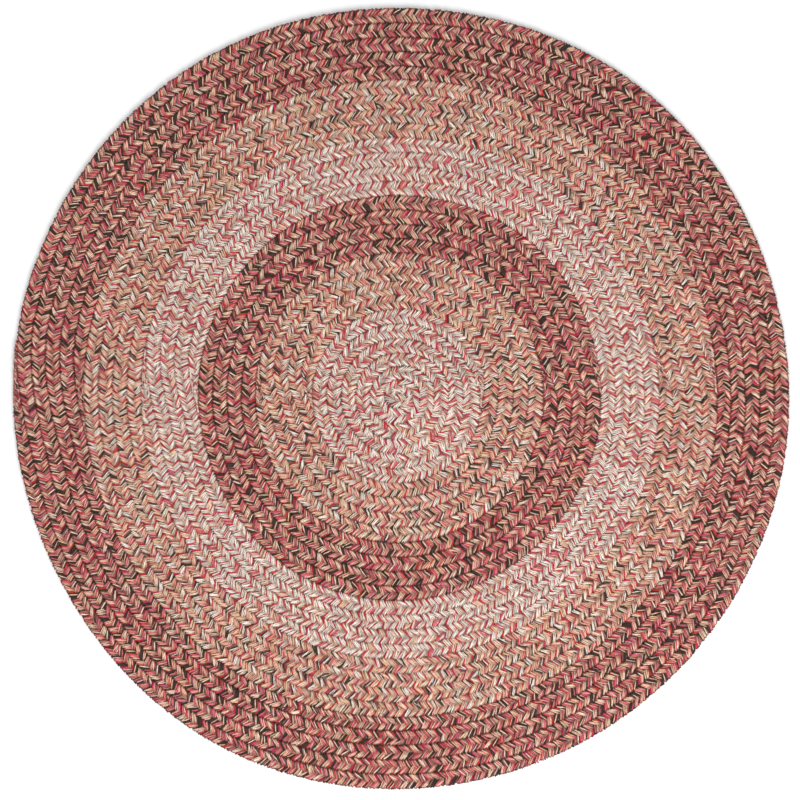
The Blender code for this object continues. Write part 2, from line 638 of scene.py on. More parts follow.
def guide_curve(name: str, runs: list[list[TrackPoint]]) -> bpy.types.Object:
    """Return a curve whose point radius is the row's width.

    Args:
        name: the curve's name.
        runs: the points of each of its splines.

    Returns:
        The curve's object.
    """
    curve = bpy.data.curves.new(name, "CURVE")
    curve.dimensions = "3D"
    for points in runs:
        spline = curve.splines.new("POLY")
        spline.points.add(len(points) - 1)
        for corner, point in zip(spline.points, points):
            corner.co = (*point.place, 1.0)
            corner.radius = point.width
    return linked(bpy.data.objects.new(name, curve))


def linked(piece: bpy.types.Object) -> bpy.types.Object:
    """Put an object in the scene and return it."""
    bpy.context.scene.collection.objects.link(piece)
    return piece


def dropped(*helpers: bpy.types.Object) -> None:
    """Take away objects that only served to build others."""
    for helper in helpers:
        bpy.data.objects.remove(helper, do_unlink=True)


def joined(name: str, parts: list[bpy.types.Object]) -> bpy.types.Object:
    """Make one piece of several objects.

    Args:
        name: the piece's name.
        parts: the objects.

    Returns:
        The piece.
    """
    with bpy.context.temp_override(active_object=parts[0], selected_editable_objects=parts):
        bpy.ops.object.join()
    parts[0].name = name
    parts[0].data.name = name
    return parts[0]


# ---------------------------------------------------------------- finishes


@dataclass(frozen=True)
class Nap:
    """The fine relief of spun yarn, which ends the materials made of it."""

    strength: float = 0.6
    depth: float = 0.6 * MM

    def material(self, name: str) -> tuple[bpy.types.Material, NodeWeb]:
        """Start a material.

        Args:
            name: the material's name.

        Returns:
            The material, which has no nodes yet, and its web.
        """
        material = bpy.data.materials.new(name)
        material.use_nodes = True
        material.node_tree.nodes.clear()
        return material, NodeWeb(material.node_tree)

    def dress(self, colour: Wire, height: Wire, others: dict[str, Any]) -> None:
        """End a material with its surface.

        Args:
            colour: its colour.
            height: its relief, from 0 to about 1.
            others: the shader's other inputs.
        """
        web = colour.web
        bump = {"Height": height, "Strength": self.strength, "Distance": self.depth}
        inputs = {"Base Color": colour, "Normal": web.result("ShaderNodeBump", bump), **others}
        web.add("ShaderNodeOutputMaterial", {"Surface": web.result("ShaderNodeBsdfPrincipled", inputs)})


@dataclass(frozen=True)
class YarnFinish:
    """Soft spun yarn: plies wound at a slant, loose fibres, uneven dye, and painted light: highlights on the
    crests, shade on the flanks, between the plies and in the depths.

    A noise texture mostly stays between 0.3 and 0.7, so the fades over fibres and dye do.
    """

    name: str
    groove_shade: float  # how dark the groove between two rows is
    haze: Colour  # the mean of the yarns round about: the colour of stray fibres, and of the light that neighbours bounce into a yarn's painted shade
    half_width: float = 1.35  # where the flank of a yarn ends
    ply_pitch: float = 3.4
    ply_slant: float = 0.9
    ply_wobble: float = 1.1  # how far the fibres push a ply aside
    ply_start: float = 40.0  # how differently the plies of two yarns lie
    ply_roundness: float = 0.7
    ply_relief: float = 0.8
    fibre_pitch: float = 0.4
    fibre_slant: float = 0.35
    fibre_stretch: float = 0.22  # how much longer than wide a fibre is, as 1 to this
    fibre_start: float = 90.0
    fibre_relief: float = 0.5
    dye_patch: float = 30 * MM
    tone_value: Fade = Fade(0.0, 1.0, 0.76, 1.21)  # from the darkest yarn to the lightest
    fibre_value: Fade = Fade(0.3, 0.7, 0.76, 1.2)
    ply_value: Fade = Fade(0.0, 1.0, 0.76, 1.17)  # painted shade between two plies to a painted highlight on a ply's crest
    flank_value: Fade = Fade(0.0, 0.9, 1.1, 0.88)  # painted highlight on a yarn's crest to painted shade on its flank
    dye_value: Fade = Fade(0.3, 0.7, 0.94, 1.06)
    saturation: Fade = Fade(0.3, 0.7, 1.08, 0.94)
    roughness: Fade = Fade(0.3, 0.7, 0.82, 0.97)
    hue: Fade = Fade(0.0, 1.0, 0.486, 0.514)  # 0.5 leaves a yarn's hue as it is
    hue_spread: float = 7.31  # tells a yarn's hue apart from its tone
    fleck_tint: Colour = (0.91, 0.83, 0.79, 1.0)  # on every other ply
    haze_share: Fade = Fade(0.4, 0.95, 0.0, 0.33)  # painted shade, tinted by the light that neighbouring yarns bounce in, from a yarn's crest to its flank
    stray_share: Fade = Fade(0.5, 0.7, 0.0, 0.1)  # the fibres that come from other yarns
    depth_tint: Colour = (0.40, 0.22, 0.18, 1.0)  # the colour of full shade
    flank_shade: Fade = Fade(0.4, 1.0, 0.0, 0.85)
    middle_height: float = 5.5 * MM  # the middle of the rug's thickness
    deep_shade: Fade = Fade(0.55 * MM, 3.08 * MM, 0.85, 0.0)  # by the distance from there
    groove_from: float = 0.03  # these two are shares of the way to a strand's tip
    groove_to: float = 0.2
    tip_shade: Fade = Fade(0.62, 1.0, 0.0, 0.85)
    side_shade: Fade = Fade(0.65, 1.0, 0.0, 0.6)
    sheen: float = 0.2
    sheen_roughness: float = 0.5
    gloss: float = 0.25

    def material(self) -> bpy.types.Material:
        """Make the yarn material, which takes each yarn's colour from its own attribute.

        Returns:
            The material.
        """
        material, web = Nap().material(self.name)
        tone = web.result("ShaderNodeAttribute", output="Fac", attribute_name="yarn_tone")
        along, across, _ = web.result("ShaderNodeUVMap", uv_map="yarn_uv").parts()
        flank = abs(across / self.half_width)
        leaning = across + along * self.fibre_slant
        spot = web.vector(along * self.fibre_stretch, leaning, tone * self.fibre_start)
        fibres = web.result("ShaderNodeTexNoise", {
            "Vector": spot, "Scale": 1.0 / self.fibre_pitch, "Detail": 3.0, "Roughness": 0.6,
        })
        wound = along + across * self.ply_slant + tone * self.ply_start + fibres * self.ply_wobble
        turns = wound / self.ply_pitch
        plies = (turns.math("PINGPONG", 0.5) * 2.0).math("POWER", self.ply_roundness)
        dyed = self._dyed(tone, flank, fibres, turns, plies)
        shaded = web.mixed(self._shade(flank), dyed, self.depth_tint, "MULTIPLY")
        Nap().dress(shaded, plies * self.ply_relief + fibres * self.fibre_relief, {
            "Roughness": fibres.faded(self.roughness), "Specular IOR Level": self.gloss,
            "Sheen Weight": self.sheen, "Sheen Roughness": self.sheen_roughness,
        })
        return material

    def _dyed(self, tone: Wire, flank: Wire, fibres: Wire, turns: Wire, plies: Wire) -> Wire:
        """Return the yarn's colour, as uneven as its dye, its plies and its fibres make it, with painted
        highlights on the crests and painted shade on the flanks and between the plies.

        Args:
            tone: the yarn's own random number.
            flank: how near a point is to the yarn's flank.
            fibres: fine streaks that run nearly along the yarn.
            turns: how many plies lie before the point.
            plies: how near it is to a ply's crest.

        Returns:
            The colour, before the rest of the painted shade is laid on.
        """
        web = tone.web
        dye = web.result("ShaderNodeTexNoise", {
            "Vector": web.result("ShaderNodeTexCoord", output="Object"),
            "Scale": 1.0 / self.dye_patch, "Detail": 2.0,
        })
        # painted shade between the plies and painted highlights on their crests, with the random tone of
        # yarn and fibres
        value = tone.faded(self.tone_value) * fibres.faded(self.fibre_value) * plies.faded(self.ply_value)
        # painted highlight on each yarn's crest and painted shade on its flanks, with the dye's own patches
        value = value * flank.faded(self.flank_value) * dye.faded(self.dye_value)
        colour = web.result("ShaderNodeAttribute", attribute_name="yarn_colour")
        other_ply = turns.math("FLOOR").math("FLOORED_MODULO", 2.0)
        flecked = web.mixed(other_ply, colour, self.fleck_tint, "MULTIPLY")
        # painted shade on the flanks, darkened towards the colour that neighbouring yarns bounce in
        bounce_shaded = web.mixed(flank.faded(self.haze_share), flecked, self.haze, "DARKEN")
        return web.result("ShaderNodeHueSaturation", {
            "Color": web.mixed(fibres.faded(self.stray_share), bounce_shaded, self.haze), "Value": value,
            "Saturation": fibres.faded(self.saturation),
            "Hue": (tone * self.hue_spread).math("FRACT").faded(self.hue),
        })

    def _shade(self, flank: Wire) -> Wire:
        """Return the shade that rounds a yarn and its strand.

        Args:
            flank: how near a point is to the yarn's flank.

        Returns:
            The darkest of the shades on the yarn's flank, deep in the rug, in the groove between
            two rows, at the strand's dipping tip and at its sides.
        """
        web = flank.web
        height = web.result("ShaderNodeTexCoord", output="Object").parts()[2]
        share, side, _ = web.result("ShaderNodeUVMap", uv_map="strand_uv").parts()
        shade = flank.faded(self.flank_shade)
        for other in (
            abs(height - self.middle_height).faded(self.deep_shade),
            share.faded(Fade(self.groove_from, self.groove_to, self.groove_shade, 0.0)),
            share.faded(self.tip_shade),
            abs(side).faded(self.side_shade),
        ):
            shade = shade.math("MAXIMUM", other)
        return shade


@dataclass(frozen=True)
class CoreFinish:
    """The inner yarns that show only in the gaps of the braid, darkened with painted shade."""

    name: str
    colour: Colour  # the mean of the yarns
    darkest: float = 0.36  # the share of that colour in the darkest fibres; this share and the next stay below 1 as painted shade, for the core lies deep in the braid
    lightest: float = 0.78
    contrast: Fade = Fade(0.3, 0.7, 0.0, 1.0)
    fibre_scale: float = 700.0
    roughness: float = 0.95
    gloss: float = 0.2

    def material(self) -> bpy.types.Material:
        """Make a fibrous material, darkened with painted shade.

        Returns:
            The material.
        """
        material, web = Nap().material(self.name)
        fibres = web.result("ShaderNodeTexNoise", {
            "Vector": web.result("ShaderNodeTexCoord", output="Object"),
            "Scale": self.fibre_scale, "Detail": 3.0,
        })
        # painted shade: both ends lie below the yarns' mean colour, with fibres mixing between them
        ends = [(*(channel * share for channel in self.colour[:3]), 1.0)
                for share in (self.darkest, self.lightest)]
        mixed = web.mixed(fibres.faded(self.contrast), *ends)
        Nap().dress(mixed, fibres, {"Roughness": self.roughness, "Specular IOR Level": self.gloss})
        return material


@dataclass(frozen=True)
class FloorFinish:
    """A plain pale floor."""

    tone: float = 0.98
    roughness: float = 0.9

    def material(self) -> bpy.types.Material:
        """Make a matt, nearly white material.

        Returns:
            The material.
        """
        material = bpy.data.materials.new("pale_floor")
        material.use_nodes = True
        shader = material.node_tree.nodes["Principled BSDF"]
        shader.inputs["Base Color"].default_value = (self.tone, self.tone, self.tone, 1.0)
        shader.inputs["Roughness"].default_value = self.roughness
        return material


# ---------------------------------------------------------------- the yarn


@dataclass(frozen=True)
class Bend:
    """One point of a yarn as it crosses half a row."""

    across: float  # share of the half row, from its middle line to the groove
    height: float  # above the floor, or below the top for the underside


@dataclass(frozen=True)
class Lay:
    """Where one yarn lies in its strand, against the way the braid runs."""

    place: float  # -1 for the trailing yarn, 1 for the leading one
    shift: float  # moved along from an even spacing
    sink: float = 0.0  # how much lower it lies than the strand's crest
    is_sunk: bool = False  # a narrow yarn that only shows between two strands


@dataclass(frozen=True)
class Bundle:
    """The yarns of a strand that show on one face of the rug, from trailing to leading."""

    face: Face
    lays: tuple[Lay, ...]
    bends: tuple[Bend, ...]  # from the groove to just past the row's middle
    half_width: float
    drop: float  # how far a yarn's sides lie below its crest
    map_from: float  # the part of the map that its yarns fill
    map_to: float

    def reached(self, bend: Bend) -> float:
        """Return a bend's share of the way from the groove to the tip."""
        return max(0.0, (1.0 - bend.across) / (1.0 - self.bends[-1].across))


BUNDLES = (
    Bundle(
        Face.TOP,
        (
            Lay(0.0, -0.80 * MM, is_sunk=True),
            Lay(-1.0, -0.92 * MM, 0.35 * MM),
            Lay(-0.33, -0.84 * MM),
            Lay(0.33, -0.76 * MM),
            Lay(1.0, -0.68 * MM, 0.35 * MM),
        ),
        (
            Bend(0.93, 4.0 * MM),
            Bend(1.05, 8.4 * MM),
            Bend(0.84, 10.3 * MM),
            Bend(0.42, 11.0 * MM),
            Bend(-0.11, 9.4 * MM),
        ),
        half_width=1.2 * MM, drop=0.95 * MM, map_from=0.0, map_to=0.72,
    ),
    Bundle(
        Face.UNDERSIDE,
        (
            Lay(-1.0, -0.8 * MM, 0.35 * MM),
            Lay(0.0, -0.8 * MM),
            Lay(1.0, -0.8 * MM, 0.35 * MM),
        ),
        (
            Bend(1.03, 5.2 * MM),
            Bend(0.70, 10.9 * MM),
            Bend(-0.06, 9.8 * MM),
        ),
        half_width=1.95 * MM, drop=1.5 * MM, map_from=0.72, map_to=1.0,
    ),
)


class Spot(NamedTuple):
    """Where a corner of a yarn lies on the yarn, in millimetres, and on its strand."""

    along: float
    across: float
    share: float  # 0 at the groove, 1 at the tip
    side: float  # -1 and 1 at the strand's sides


def strip(name: str, corners: list[Vector], spots: list[Spot], lanes: int, up: Vector) -> bpy.types.Object:
    """Return a smooth strip of yarn, with a map of the yarn and one of its strand.

    Args:
        name: the strip's name.
        corners: the places of its corners, lane by lane at each station along it.
        spots: where each corner lies on the yarn and on its strand.
        lanes: how many corners a station has.
        up: the way its top should face.

    Returns:
        The strip's object.
    """
    faces = [(one, one + 1, one + 1 + lanes, one + lanes)
             for one in range(len(corners) - lanes) if one % lanes < lanes - 1]
    mesh = bpy.data.meshes.new(name)
    mesh.from_pydata(corners, [], faces)
    if sum(face.normal.dot(up) for face in mesh.polygons) < 0.0:
        mesh.flip_normals()
    for label, columns in (("yarn_uv", slice(0, 2)), ("strand_uv", slice(2, 4))):
        layer = mesh.uv_layers.new(name=label)
        for loop in mesh.loops:
            layer.data[loop.index].uv = spots[loop.vertex_index][columns]
    mesh.shade_smooth()
    return linked(bpy.data.objects.new(name, mesh))


@dataclass(frozen=True)
class YarnBit:
    """The stretch of one yarn that shows on one half of a row."""

    limb: Limb
    bundle: Bundle
    lay: Lay
    half_row: float
    thickness: float = 11 * MM
    lean: float = 9.6 * MM  # how far it runs along the braid as it crosses
    sway: float = 0.04  # share of the lean by which it bends to an S
    tip_share: float = 0.66  # share of its width at the tip
    tip_roundness: float = 0.6
    gather: float = 1.2 * MM  # how far the outer yarns of a strand draw in at its ends
    rim_gather: float = 0.55  # share of that at the groove
    crossing: float = 0.13  # how far the leading yarn stops short of the trailing one
    dive: float = 0.9 * MM  # how much deeper the leading yarn dives
    sunk_half_width: float = 1.4 * MM
    sunk_depth: float = 0.9 * MM
    sunk_side: float = 0.8  # where a sunk yarn counts as lying in its strand, for its shade
    sunk_map_half: float = 0.6
    half_share: float = 0.25  # half a yarn's width as a share of its strand's half width

    def spine(self) -> list[Vector]:
        """Follow the yarn's crest.

        Returns:
            The line, from the groove to just past the row's middle.
        """
        place = self.lay.place
        line = []
        for bend in self.bundle.bends:
            share = 0.0 if bend is self.bundle.bends[0] else self.bundle.reached(bend)
            ends = (2.0 * share - 1.0) ** 2 * (self.rim_gather if share < 0.5 else 1.0)
            along = self.lean * (share - self.sway * math.sin(math.tau * share))
            along -= place * self.gather * ends
            across = bend.across + place * self.crossing * share ** 3
            height = bend.height - self.lay.sink - (place + 1) / 2 * self.dive * share ** 2
            if self.lay.is_sunk:
                height -= self.sunk_depth
            if self.bundle.face is Face.UNDERSIDE:
                height = self.thickness - height
            line.append(Vector((along, self.limb.value * across * self.half_row, height)))
        return line

    def _fullness(self, share: float) -> float:
        """Return how wide the yarn is at a share of its length: full, then drawn in to its tip."""
        drawn_in = 1.0 - math.sin(math.pi * max(0.5, share)) ** self.tip_roundness
        return 1.0 - (1.0 - self.tip_share) * drawn_in

    def build(self) -> bpy.types.Object:
        """Build the yarn: roof-shaped and rounded by its shading, or flat if it is sunk.

        Returns:
            A small strip.
        """
        line = self.spine()
        up = Vector(UP) * self.bundle.face.value
        lanes, half_width, map_half = (-1, 0, 1), self.bundle.half_width, YARN_MAP_HALF
        if self.lay.is_sunk:
            lanes, half_width, map_half = (-1, 1), self.sunk_half_width, self.sunk_map_half
        corners, spots = [], []
        travelled = 0.0
        for number, point in enumerate(line):
            ahead = line[min(number + 1, len(line) - 1)]
            behind = line[max(number - 1, 0)]
            run = (ahead - behind).normalized()
            side = Vector((run.x, run.y, 0.0)).normalized().cross(up)
            outward = side.cross(run).normalized()
            fullness = self._fullness(number / (len(line) - 1))
            travelled += (point - behind).length
            reached = self.bundle.reached(self.bundle.bends[number])
            for lane in lanes:
                sink = 0.0 if self.lay.is_sunk else -abs(lane) * self.bundle.drop * fullness
                corners.append(point + side * (lane * half_width * fullness) + outward * sink)
                aside = self.lay.place * (1.0 - self.half_share) + lane * self.half_share
                aside = self.sunk_side if self.lay.is_sunk else aside
                spots.append(Spot(travelled / MM, lane * map_half, reached, aside))
        return strip("yarn_bit", corners, spots, len(lanes), up)


class EndStation(NamedTuple):
    """One cross-section of a loose end."""

    along: float  # share of its length, from its middle
    fullness: float  # share of its width
    dipped: float  # share of its dip


@dataclass(frozen=True)
class LooseEnd:
    """A short end of yarn, where a length of braid tapers out."""

    length: float = 6.5 * MM
    half_width: float = 1.1 * MM
    drop: float = 1.0 * MM  # how far its sides lie below its crest
    dip: float = 1.2 * MM  # how far its tips lie below its middle
    stations: tuple[EndStation, ...] = (
        EndStation(-0.5, 0.4, 1.0),
        EndStation(-0.25, 0.95, 0.2),
        EndStation(0.0, 1.0, 0.0),
        EndStation(0.25, 0.95, 0.2),
        EndStation(0.5, 0.4, 1.0),
    )

    def build(self) -> bpy.types.Object:
        """Build the end, which lies along X and dips down at its tips.

        Returns:
            A small rounded strip.
        """
        corners, spots = [], []
        for along, fullness, dipped in self.stations:
            for lane in (-1, 0, 1):
                height = -self.dip * dipped - abs(lane) * self.drop * fullness
                corners.append(Vector((along * self.length, lane * self.half_width * fullness, height)))
                spots.append(Spot((along + 0.5) * self.length / MM, lane * YARN_MAP_HALF, 0.5, 0.0))
        return strip("loose_end", corners, spots, 3, Vector(UP))


# ---------------------------------------------------------------- the braid


@dataclass(frozen=True)
class BraidPattern:
    """How the strands lie along a row."""

    strand_pitch: float = 11.1 * MM
    strand_wander: float = 0.8 * MM  # how far a strand lies from its even place, at most
    yarn_wander: float = 0.4 * MM
    strand_sink: float = 0.6 * MM  # how far a strand lies below the highest, at most
    yarn_sink: float = 0.4 * MM
    strand_swing_deg: float = 16.0  # how far a strand turns from its even lie, at most
    yarn_swing_deg: float = 11.0
    tail_swing_deg: Fade = Fade(0.45, 0.9, 30.0, 0.0)  # what narrow rows add to that
    smallest: float = 0.94
    largest: float = 1.07
    length: Fade = Fade(0.2, 1.0, 0.7, 1.0)  # of a yarn, from narrow rows to full ones
    height: Fade = Fade(0.2, 1.0, 0.82, 1.0)
    twist_pitch: float = 16.0  # strands along which one strand's yarns keep their order
    twist_turns: float = 3.0  # how many times the slow twist may go round
    strand_apart: float = 37.7  # keeps the twists of the three strands apart
    seed_apart: float = 3.1  # and those of the bands
    stray_share: float = 0.12  # share of the yarns that lie out of their order
    stray_draw: int = 7
    seed: int = 11
    band_seeds: int = 100  # from the seeds of one band to those of the next
    limb_seeds: int = 20

    def seed_of(self, number: int, limb: Limb, face: Face) -> int:
        """Return the seed of a band's strands on one half of its rows and one face."""
        return self.seed + self.band_seeds * number + self.limb_seeds * (limb.value + 1) + face.value


@dataclass(frozen=True)
class BakeMap:
    """The map on which every yarn has its own cell, for a finish that is baked."""

    cell_shape: float = 4.0  # how many times longer than wide a cell is
    along: Fade = Fade(0.0, 22.0, 0.04, 0.96)  # from the yarn's map to the cell's length
    across: Fade = Fade(-1.9, 1.9, 0.14, 0.86)


class StrandTree(PieceTree):
    """Lays yarns side by side along a braid, strand after strand."""

    def __init__(self, values: dict[str, Any], pattern: BraidPattern, mix: YarnMix, bundle: Bundle) -> None:
        """Space the yarns along the track.

        Args:
            values: what each of the tree's inputs is given, by its name.
            pattern: how the strands lie.
            mix: the yarns of the braid.
            bundle: how a strand's yarns lie on one face of the rug.
        """
        super().__init__("strands", values)
        self.pattern = pattern
        self.mix = mix
        self.bundle = bundle
        self.yarns = len(bundle.lays)
        self.points, self.run = self.strung("Track", self.given["Strand Pitch"] / float(self.yarns))
        self.share = self.web.result("GeometryNodeInputRadius") / self.given["Row Width"]
        self.index = self.web.result("GeometryNodeInputIndex")
        self.slot = self.index.whole("MODULO", self.yarns)  # the yarn's place in its bundle
        self.limb = self.index.whole("DIVIDE", self.yarns)  # the number of the bundle

    def fill(self) -> Wire:
        """Lay the yarns in their places, coloured and mapped.

        Returns:
            The yarns.
        """
        web = self.web
        points = web.kept(self._coloured(), "bit", self.index, "INT")
        count = web.result("GeometryNodeAttributeDomainSize", {"Geometry": points}, "Point Count",
                           component="POINTCLOUD")
        points = web.moved(points, self._offset())
        facing, size = self._facing(), self._size()
        gathered = web.add("GeometryNodeJoinGeometry")
        for number in range(self.yarns):
            chosen = web.result("FunctionNodeCompare", {"A_INT": self.slot, "B_INT": number},
                                data_type="INT", operation="EQUAL")
            web.give(gathered.inputs[0], web.result("GeometryNodeInstanceOnPoints", {
                "Points": points, "Selection": chosen, "Instance": self.shape(f"Yarn {number}"),
                "Rotation": facing, "Scale": size,
            }))
        return self._mapped(web.real(Wire(web, gathered.outputs[0])), count)

    def _offset(self) -> Wire:
        """Move each yarn along the braid and up or down.

        Returns:
            How far it is moved.
        """
        pattern = self.pattern
        lift = self.chance(-pattern.strand_sink, 0.0, 0, self.limb) + self.chance(-pattern.yarn_sink, 0.0, 1)
        shift = self.web.choice(self.slot, tuple(lay.shift for lay in self.bundle.lays), "FLOAT")
        along = self.given["Shift Along"] + shift
        along = along + self.chance(-pattern.strand_wander, pattern.strand_wander, 2, self.limb)
        along = along + self.chance(-pattern.yarn_wander, pattern.yarn_wander, 3)
        return self.run.scaled(along).plus(self.web.vector(z=lift * self.given["Upward"]))

    def _facing(self) -> Wire:
        """Turn the yarns along the braid, a little unevenly, and more so in the tails.

        Returns:
            Their rotation.
        """
        unruly = self.share.faded(self.pattern.tail_swing_deg) + self.pattern.yarn_swing_deg
        swing = self.chance(-1.0, 1.0, 4, self.limb) * self.pattern.strand_swing_deg
        swing = swing + self.chance(-1.0, 1.0, 5) * unruly
        return self.web.facing(UP, self.run, swing.math("RADIANS"))

    def _size(self) -> Wire:
        """Size the yarns by the width of the row.

        Returns:
            Their scale.
        """
        stretch = self.chance(self.pattern.smallest, self.pattern.largest, 6)
        length = self.share.faded(self.pattern.length) * stretch
        return self.web.vector(length, self.share * stretch, self.share.faded(self.pattern.height))

    def _mapped(self, geometry: Wire, count: Wire) -> Wire:
        """Give every yarn its own cell of the bake map.

        Args:
            geometry: the yarns.
            count: how many there are.

        Returns:
            The yarns with the map.
        """
        web, start, cell = self.web, self.given["Map From"], BakeMap()
        span = self.given["Map To"] - start
        rows = (count * cell.cell_shape * span).math("SQRT").math("CEIL")
        columns = (count / rows).math("CEIL")
        bit = web.result("GeometryNodeInputNamedAttribute", {"Name": "bit"}, data_type="INT")
        row = ((bit + 0.5) / columns).math("FLOOR")
        column = bit - row * columns
        along, across, _ = web.result("GeometryNodeInputNamedAttribute", {"Name": "yarn_uv"},
                                      data_type="FLOAT_VECTOR").parts()
        place = web.vector((column + along.faded(cell.along)) / columns,
                           (row + across.faded(cell.across)) / rows * span + start)
        return web.kept(geometry, "OFBake", place, "FLOAT2", "CORNER")

    def _coloured(self) -> Wire:
        """Give each yarn the colour of its place in its strand, which slowly twists.

        Returns:
            The points of the yarns, with their colours.
        """
        web, pattern, seed = self.web, self.pattern, self.given["Seed"]
        strand = self.limb.whole("ADD", self.given["Strand Turn"]).whole("MODULO", 3)
        where = self.limb / pattern.twist_pitch + strand * pattern.strand_apart + seed * pattern.seed_apart
        drift = web.result("ShaderNodeTexNoise", {"W": where, "Scale": 1.0, "Detail": 1.0},
                           noise_dimensions="1D")
        stray = web.result("FunctionNodeRandomValue", {
            "Probability": pattern.stray_share, "Seed": seed.whole("ADD", pattern.stray_draw),
        }, 3, data_type="BOOLEAN")
        lying, sunk = (self._strand_colour(strands, strand, drift, stray)
                       for strands in (self.mix.lying, self.mix.sunk))
        is_sunk = web.choice(self.slot, tuple(float(lay.is_sunk) for lay in self.bundle.lays), "FLOAT")
        kept = web.kept(self.points, "yarn_colour", web.mixed(is_sunk, lying, sunk), "FLOAT_COLOR")
        return web.kept(kept, "yarn_tone", self.chance(0.0, 1.0, 9), "FLOAT")

    def _strand_colour(self, strands: Strands, strand: Wire, drift: Wire, stray: Wire) -> Wire:
        """Return the colour of each yarn of a set of three strands.

        Args:
            strands: the yarns of each strand, in their order round it.
            strand: which of the three strands a yarn belongs to.
            drift: how far the strand has twisted there.
            stray: whether the yarn lies out of its order.

        Returns:
            The colour.
        """
        count = float(len(strands[0]))
        twist = (drift * (self.pattern.twist_turns * count)).math("FLOOR")
        place = (self.slot + twist).math("FLOORED_MODULO", count)
        place = self.web.result("GeometryNodeSwitch", {
            "Switch": stray, "False": (place + 0.5) / count, "True": self.chance(0.0, ALMOST_ONE, 8),
        }, input_type="FLOAT")
        return self.web.choice(strand, tuple(self.web.dyed(place, yarns) for yarns in strands), "RGBA")


@dataclass(frozen=True)
class TailPattern:
    """How loose yarn ends are heaped to a cord where a length of braid tapers out."""

    spacing: float = 0.5 * MM
    height: float = 10.9 * MM
    dome: float = 3.2 * MM  # how much lower the cord's sides lie
    spread: float = 1.1  # the cord's width as a share of the row's
    narrowest: float = 4.5 * MM
    yarn_width: float = 2 * LooseEnd.half_width
    tilt: float = 2.4  # how far the ends at the cord's sides lean outward
    sag: float = 0.6 * MM  # how far an end lies below the highest, at most
    slant: float = math.radians(30.0)
    swing: float = math.radians(20.0)  # how far an end turns from that slant, at most
    smallest: float = 0.75
    largest: float = 1.1


class TailTree(PieceTree):
    """Heaps loose yarn ends along a tail, from every other lying yarn and all the sunk ones."""

    def __init__(self, name: str, values: dict[str, Any], mix: YarnMix) -> None:
        """Choose the yarns.

        Args:
            name: the piece's name.
            values: what each of the tree's inputs is given, by its name.
            mix: the yarns of the braid.
        """
        super().__init__(name, values)
        picked = [yarn for strand in mix.lying for yarn in strand[1::2]]
        self.yarns = (*picked, *(yarn for strand in mix.sunk for yarn in strand))

    def fill(self) -> Wire:
        """Heap the ends up, coloured and in their places.

        Returns:
            The ends.
        """
        web, given = self.web, self.given
        points, run = self.strung("Tails", given["Spacing"])
        across = web.result("ShaderNodeVectorMath", {0: run, 1: UP}, operation="CROSS_PRODUCT")
        width = (web.result("GeometryNodeInputRadius") * given["Spread"]).math("MAXIMUM", given["Narrowest"])
        place = self.chance(-0.5, 0.5, 0)
        aside = (width - given["Yarn Width"]) * place
        sunk = given["Dome"] * (place * place * 4.0)
        lift = given["Height"] - sunk + self.chance(given["Sag"] * -1.0, 0.0, 1)
        colour = web.dyed(self.chance(0.0, ALMOST_ONE, 2), self.yarns)
        points = web.kept(points, "yarn_colour", colour, "FLOAT_COLOR")
        points = web.kept(points, "yarn_tone", self.chance(0.0, 1.0, 3), "FLOAT")
        points = web.moved(points, across.scaled(aside).plus(web.vector(z=lift)))
        upward = across.scaled(place * given["Tilt"]).plus(UP)
        turn = given["Swing"] * self.chance(-1.0, 1.0, 4) + given["Slant"]
        return web.result("GeometryNodeInstanceOnPoints", {
            "Points": points, "Instance": self.shape("End"), "Rotation": web.facing(upward, run, turn),
            "Scale": self.chance(given["Smallest"], given["Largest"], 5),
        })


@dataclass(frozen=True)
class CorePattern:
    """The flat oval tube that fills the inside of a braid."""

    width_share: float = 1.01  # its width as a share of the row's
    height: float = 4.0 * MM
    middle_height: float = 5.5 * MM
    step: float = 14 * MM  # the distance between its rings
    sides: int = 8


class CoreTree(PieceTree):
    """Runs a flat oval tube along a braid."""

    def fill(self) -> Wire:
        """Run the tube along the track.

        Returns:
            The tube.
        """
        web, given = self.web, self.given
        course = {"Curve": self.shape("Track"), "Length": given["Step"]}
        even = web.result("GeometryNodeResampleCurve", course, mode="LENGTH")
        upright = web.result("GeometryNodeSetCurveNormal", {"Curve": even}, mode="Z_UP")
        circle = {"Resolution": given["Sides"], "Radius": 0.5}
        flat = web.vector(given["Width Share"], given["Height"] / given["Row Width"], 1.0)
        oval = web.result("GeometryNodeTransform", {
            "Geometry": web.result("GeometryNodeCurvePrimitiveCircle", circle), "Scale": flat,
        })
        tube = web.result("GeometryNodeCurveToMesh", {
            "Curve": web.moved(upright, web.vector(z=given["Middle Height"])), "Profile Curve": oval,
            "Scale": web.result("GeometryNodeInputRadius"), "Fill Caps": True,
        })
        return web.result("GeometryNodeSetShadeSmooth", {"Geometry": tube})


